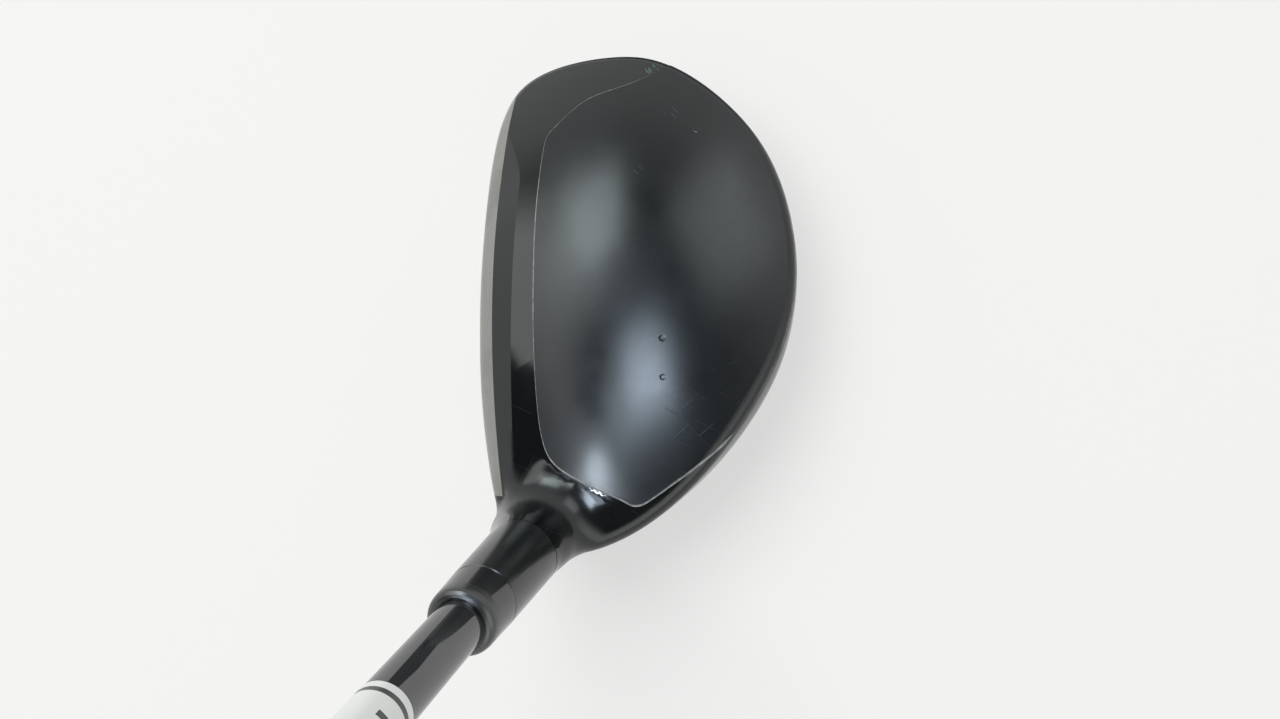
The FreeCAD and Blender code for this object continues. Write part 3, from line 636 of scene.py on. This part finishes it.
def gloss_paint():
    """Black lacquer on the crown's frame and skirt; brushed steel on the flat of the sole."""
    s = Shader("gloss_black_lacquer")
    haze = s.noise(55.0, 4.0, 0.55)
    hair = s.most(s.scratches(5, 16, 0.05, 0.5, 0.35), s.scratches(7, 20, 0.05, -0.9, 0.3, 4.0))
    dust = dust_on(s)
    rim = s.times(s.spot(TOE_CHIP, 1.6, 2.6), s.scratches(0.9, 3.2, 0.4, 1.1, 0.9, 6.0))
    paint = s.blend(s.ramp(haze, 0.35, 0.7), (0.0040, 0.0050, 0.0056), (0.0058, 0.0070, 0.0076))
    colour = s.blend(s.times(dust, 0.35), paint, (0.30, 0.31, 0.31))
    colour = s.blend(s.times(hair, 0.05), colour, (0.3, 0.31, 0.31))
    colour = s.blend(s.times(rim, 0.5), colour, (0.16, 0.30, 0.24))
    rough = s.ramp(haze, 0.3, 0.75, 0.035, 0.085)
    rough = s.math("ADD", rough, s.times(s.most(hair, dust), 0.2))
    rough = s.math("ADD", rough, s.times(s.spot(tuple(ROOT / MM), 9.0, 16.0), 0.17))
    bump = s.bump(s.noise(260.0, 2.0, 0.4), 0.000010, 0.35)

    normal = s.add("ShaderNodeTexCoord").outputs["Normal"]
    under = s.ramp(s.split(normal)[2], -0.74, -0.78)
    brush = s.noise(2600.0, 2.0, 0.6, s.moved(scale=(0.02, 1, 1)))
    scuff = s.most(s.scratches(3, 14, 0.09, 1.45, 0.5, 1.0),
                   s.scratches(6, 18, 0.12, 1.1, 0.3, 2.0))
    steel = s.blend(brush, (0.22, 0.22, 0.225), (0.36, 0.36, 0.365))
    steel = s.blend(s.times(scuff, 0.7), steel, (0.62, 0.62, 0.61))
    s.set(Base_Color=s.blend(under, colour, steel), Metallic=under,
          Roughness=s.math("ADD", s.times(under, 0.24), rough),
          Normal=s.bump(s.times(brush, under), 0.00001, 0.6, bump), IOR=1.52)
    return s


def matte_crown():
    """Satin black with a soft sheen, a pale steep edge that is partly wear and partly a painted
    highlight of the rim's glint, and a few light marks.
    """
    s = Shader("matte_crown_lacquer")
    broad = s.noise(26.0, 4.0, 0.55)
    grain = s.noise(2600.0, 2.0, 0.55)
    smudge = s.ramp(s.noise(90.0, 4.0, 0.6), 0.42, 0.80)
    hair = s.most(s.scratches(9, 26, 0.05, 0.9, 0.35), s.scratches(11, 18, 0.05, -0.4, 0.3, 5.0))
    scuffs = s.times(s.spot(HEEL_SCUFFS, 6, 15),
                     s.most(s.scratches(2.6, 8, 0.09, 0.55, 0.35, 7.0),
                            s.scratches(3.0, 7, 0.09, -0.7, 0.3, 9.0)))
    nick = s.times(s.spot(NICK, 0.3, 0.9), s.scratches(0.7, 1.6, 0.3, 0.6, 1.0, 2.0))
    dents = s.most(s.spot(DENTS[0], 0.35, 0.8), s.spot(DENTS[1], 0.30, 0.7))
    rubs = s.times(s.most(s.spot(RUBS[0], 1.0, 2.6), s.spot(RUBS[1], 0.8, 2.2)),
                   s.scratches(1.2, 4, 0.12, 0.9, 0.8, 3.0))
    normal = s.add("ShaderNodeTexCoord").outputs["Normal"]
    # The pale colour on the panel's steep walls, at its edges and rim, is partly edge wear and
    # partly a painted highlight standing in for the rim's glint.
    steep_wall_wear_and_glint = s.ramp(s.split(normal)[2], 0.35, 0.15)
    worn = s.times(steep_wall_wear_and_glint, s.ramp(s.noise(220.0, 4.0, 0.6), 0.38, 0.55))
    paint = s.blend(broad, (0.0026, 0.0040, 0.0048), (0.0042, 0.0060, 0.0070))
    colour = s.blend(s.times(grain, 0.20), paint, (0.011, 0.014, 0.016))
    colour = s.blend(s.times(s.most(hair, scuffs), 0.09), colour, (0.30, 0.33, 0.35))
    colour = s.blend(s.times(rubs, 0.3), colour, (0.30, 0.33, 0.35))
    colour = s.blend(s.times(worn, 0.55), colour, (0.33, 0.35, 0.36))
    colour = s.blend(s.times(nick, 0.8), colour, (0.60, 0.62, 0.62))
    colour = s.blend(s.times(dents, 0.8), colour, (0.004, 0.004, 0.005))
    rough = s.ramp(broad, 0.3, 0.7, 0.245, 0.285)
    rough = s.math("SUBTRACT", rough, s.times(smudge, 0.05))
    bump = s.bump(grain, 0.000005, 0.35)
    bump = s.bump(s.most(dents, s.times(scuffs, 0.2)), -0.00006, 0.8, bump)
    s.set(Base_Color=colour, Roughness=rough, Normal=bump, IOR=1.5)
    return s


def bond_line():
    """A chalky line that is fainter in places."""
    s = Shader("chalky_edge_line")
    broken = s.ramp(s.noise(120.0, 4.0, 0.6), 0.28, 0.52, 0.45, 1.0)
    fleck = s.ramp(s.noise(900.0, 2.0, 0.6), 0.35, 0.60, 0.55, 1.0)
    colour = s.blend(s.times(broken, fleck), (0.05, 0.055, 0.058), (0.40, 0.43, 0.43))
    s.set(Base_Color=colour, Roughness=0.6, Normal=s.bump(fleck, 0.00003, 0.6))
    return s


def dark_score_lines(s):
    """Darker colour in the score lines: seven level rows, the middle one longest."""
    x, _, z = s.split()
    row = s.math("DIVIDE", s.math("SUBTRACT", z, SCORE_LOW * MM), SCORE_PITCH * MM)
    inside = s.math("LESS_THAN", s.math("FRACT", row), SCORE_WIDTH / SCORE_PITCH)
    number = s.math("FLOOR", row)
    valid = s.times(s.math("GREATER_THAN", number, -0.5),
                    s.math("LESS_THAN", number, SCORE_ROWS - 0.5))
    rows_away = s.math("ABSOLUTE", s.math("SUBTRACT", number, (SCORE_ROWS - 1) / 2))
    off = s.math("POWER", rows_away, 1.5)
    half = s.math("SUBTRACT", SCORE_HALF * MM, s.times(off, SCORE_TAPER * MM))
    across = s.math("ABSOLUTE", s.math("SUBTRACT", x, SCORE_X * MM))
    return s.times(inside, valid, s.math("LESS_THAN", across, half))


def face_steel():
    """Milled steel with a cloudy tone, faint scratches and score lines coloured dark."""
    s = Shader("satin_face_steel")
    mill = s.noise(3200.0, 2.0, 0.6, s.moved(scale=(0.015, 1, 1)))
    cloud = s.noise(60.0, 4.0, 0.6)
    colour = s.blend(mill, (0.295, 0.290, 0.275), (0.39, 0.385, 0.37))
    colour = s.blend(s.ramp(cloud, 0.5, 0.75), colour, (0.27, 0.26, 0.245))
    marks = s.scratches(3, 12, 0.08, 0.2, 0.35)
    # The score lines are coloured near black, so they read darker than the steel around them.
    colour = s.blend(s.times(dark_score_lines(s), 0.85), colour, (0.03, 0.03, 0.03))
    rough = s.math("ADD", s.ramp(cloud, 0.3, 0.7, 0.24, 0.36), s.times(marks, 0.2))
    s.set(Base_Color=colour, Metallic=1.0, Roughness=rough, Normal=s.bump(mill, 0.000012, 0.6))
    return s


def machined(name, dark, light, rough=0.28):
    """Turned metal with fine tool marks."""
    s = Shader(name)
    turn = s.noise(1800.0, 2.0, 0.6)
    s.set(Base_Color=s.blend(turn, dark, light), Metallic=1.0,
          Roughness=s.ramp(turn, 0.3, 0.7, rough - 0.06, rough + 0.06),
          Normal=s.bump(turn, 0.00001, 0.5))
    return s


def plain_paint(name, dark, light, rough, grain=600.0, depth=0.000006, ior=1.5):
    """A moulded or painted surface with a fine grain and a little dust."""
    s = Shader(name)
    cloud = s.noise(45.0, 4.0, 0.55)
    fine = s.noise(grain, 3.0, 0.55)
    dust = dust_on(s, 500.0, 40.0)
    colour = s.blend(s.times(dust, 0.3), s.blend(cloud, dark, light), (0.3, 0.31, 0.31))
    s.set(Base_Color=colour, Roughness=s.ramp(fine, 0.3, 0.7, rough * 0.85, rough * 1.15),
          Normal=s.bump(fine, depth, 0.5), IOR=ior)
    return s


def neck_sleeve():
    """Black anodised sleeve with faint streaks that run along the neck."""
    s = Shader("black_anodised")
    up, turn = s.neck_place()
    ring = s.add("ShaderNodeCombineXYZ")
    s.feed(ring.inputs[0], s.times(turn, 26.0))
    s.feed(ring.inputs[1], s.times(up, 60.0))
    streak = s.noise(1.0, 4.0, 0.6, ring.outputs[0])
    cloud = s.noise(90.0, 3.0, 0.5)
    colour = s.blend(s.ramp(streak, 0.45, 0.75), (0.0125, 0.0150, 0.0145), (0.030, 0.034, 0.032))
    rough = s.ramp(cloud, 0.3, 0.7, 0.11, 0.19)
    s.set(Base_Color=colour, Roughness=s.math("ADD", rough, s.times(streak, 0.06)),
          Normal=s.bump(streak, 0.00002, 0.3), IOR=1.62)
    return s


def ferrule_gloss():
    """Polished black plastic; the rounded lip at the top is a little duller."""
    s = plain_paint("gloss_ferrule", (0.0045, 0.0052, 0.0062), (0.0062, 0.0070, 0.0080),
                    0.05, 200.0, 0.000003, 1.8)
    up, _ = s.neck_place()
    lip = s.ramp(up, 70.2 * MM, 71.0 * MM)
    rough = s.math("ADD", 0.05, s.times(s.noise(150.0), 0.03))
    s.set(Roughness=s.math("ADD", rough, s.times(lip, 0.22)))
    return s


def shaft_coat():
    """Clear-coated black with hairlines and dust."""
    s = Shader("shaft_clearcoat")
    cloud = s.noise(30.0, 3.0, 0.55)
    hair = s.scratches(6, 30, 0.05, 0.3, 0.3)
    dust = dust_on(s, 420.0, 30.0)
    colour = s.blend(cloud, (0.0060, 0.0070, 0.0085), (0.0085, 0.0098, 0.0115))
    colour = s.blend(s.times(s.most(hair, dust), 0.18), colour, (0.32, 0.33, 0.34))
    s.set(Base_Color=colour, Roughness=s.math("ADD", 0.045, s.times(hair, 0.2)),
          Normal=s.bump(s.noise(300.0, 2.0, 0.4), 0.000006, 0.3), IOR=2.0)
    return s


def band_print():
    """White band with two plain rings and a row of short bars: a generic mark."""
    s = Shader("white_band")
    low, high = cad_radii("shaft_band")[:2]
    up, turn = s.neck_place()
    share = s.ramp(up, low * MM, high * MM, smooth=False)

    def between(start, end):
        return s.times(s.math("GREATER_THAN", share, start), s.math("LESS_THAN", share, end))

    rings = s.most(between(0.06, 0.10), between(0.90, 0.94))
    bars = s.math("LESS_THAN", s.math("FRACT", s.times(share, 9.0)), 0.42)
    sector = s.math("SUBTRACT", s.math("FRACT", s.times(turn, 3.0)), 0.5)
    strip = s.math("LESS_THAN", s.math("ABSOLUTE", sector), 0.13)
    ink = s.most(rings, s.times(bars, strip, between(0.22, 0.78)))
    cloud = s.noise(60.0, 4.0, 0.5)
    white = s.blend(cloud, (0.80, 0.83, 0.80), (0.87, 0.89, 0.87))
    s.set(Base_Color=s.blend(s.times(ink, 0.93), white, (0.02, 0.022, 0.024)),
          Roughness=s.ramp(cloud, 0.3, 0.7, 0.16, 0.26),
          Normal=s.bump(s.noise(500.0), 0.000006, 0.4), IOR=1.5)
    return s


def grip_rubber(name):
    """Dull black rubber, paler and smoother where hands have worn it."""
    s = Shader(name)
    cloud = s.noise(38.0, 4.0, 0.6)
    fine = s.noise(1500.0, 3.0, 0.6)
    worn = s.ramp(s.noise(14.0, 3.0, 0.6), 0.5, 0.7)
    colour = s.blend(cloud, (0.019, 0.019, 0.020), (0.030, 0.030, 0.031))
    colour = s.blend(s.times(worn, fine, 0.5), colour, (0.055, 0.054, 0.052))
    s.set(Base_Color=colour, Roughness=s.ramp(worn, 0.0, 1.0, 0.72, 0.52),
          Normal=s.bump(fine, 0.00006, 0.5), IOR=1.45)
    return s


def dress_copy(piece, node, shader):
    """Gives the material to a piece and to the CAD node that it stands for."""
    piece.data.materials.clear()
    piece.data.materials.append(shader.material)
    dress(node, shader)


def dress_all(head, face):
    dress_copy(head, "head_shell", gloss_paint())
    dress_copy(face, "face_plate", face_steel())
    dress("crown_panel", matte_crown())
    dress("crown_bond", bond_line())
    dress("port_liner", machined("liner_steel", (0.4, 0.4, 0.4), (0.55, 0.55, 0.55)))
    dress("screw_washer", machined("washer_steel", (0.45, 0.45, 0.45), (0.6, 0.6, 0.6)))
    dress("hosel_screw", machined("hosel_screw_steel", (0.32, 0.32, 0.33), (0.5, 0.5, 0.51)))
    dress("weight_bolt", machined("weight_bolt_steel", (0.3, 0.3, 0.31), (0.48, 0.48, 0.49)))
    dress("sole_weight", machined("weight_metal", (0.2, 0.2, 0.205), (0.32, 0.32, 0.325), 0.36))
    dress("tip_plug", machined("plug_brass", (0.55, 0.4, 0.15), (0.75, 0.6, 0.28)))
    dress("screw_clip", plain_paint("clip_nylon", (0.7, 0.7, 0.68), (0.78, 0.78, 0.76), 0.5))
    dress("weight_ring", plain_paint("ring_rubber", (0.02, 0.02, 0.02), (0.03, 0.03, 0.03), 0.7))
    dress("adapter_sleeve", neck_sleeve())
    dress("ferrule", ferrule_gloss())
    dress("shaft", shaft_coat())
    dress("shaft_band", band_print())
    dress("grip_tape", plain_paint("tape_paper", (0.7, 0.66, 0.55), (0.78, 0.74, 0.63), 0.8))
    dress("grip_sleeve", grip_rubber("grip_rubber_plain"))
    dress("grip_cap", grip_rubber("cap_rubber"))


make_camera()
make_studio()
head = make_head_shell()
face = make_face()
make_grip()
dress_all(head, face)
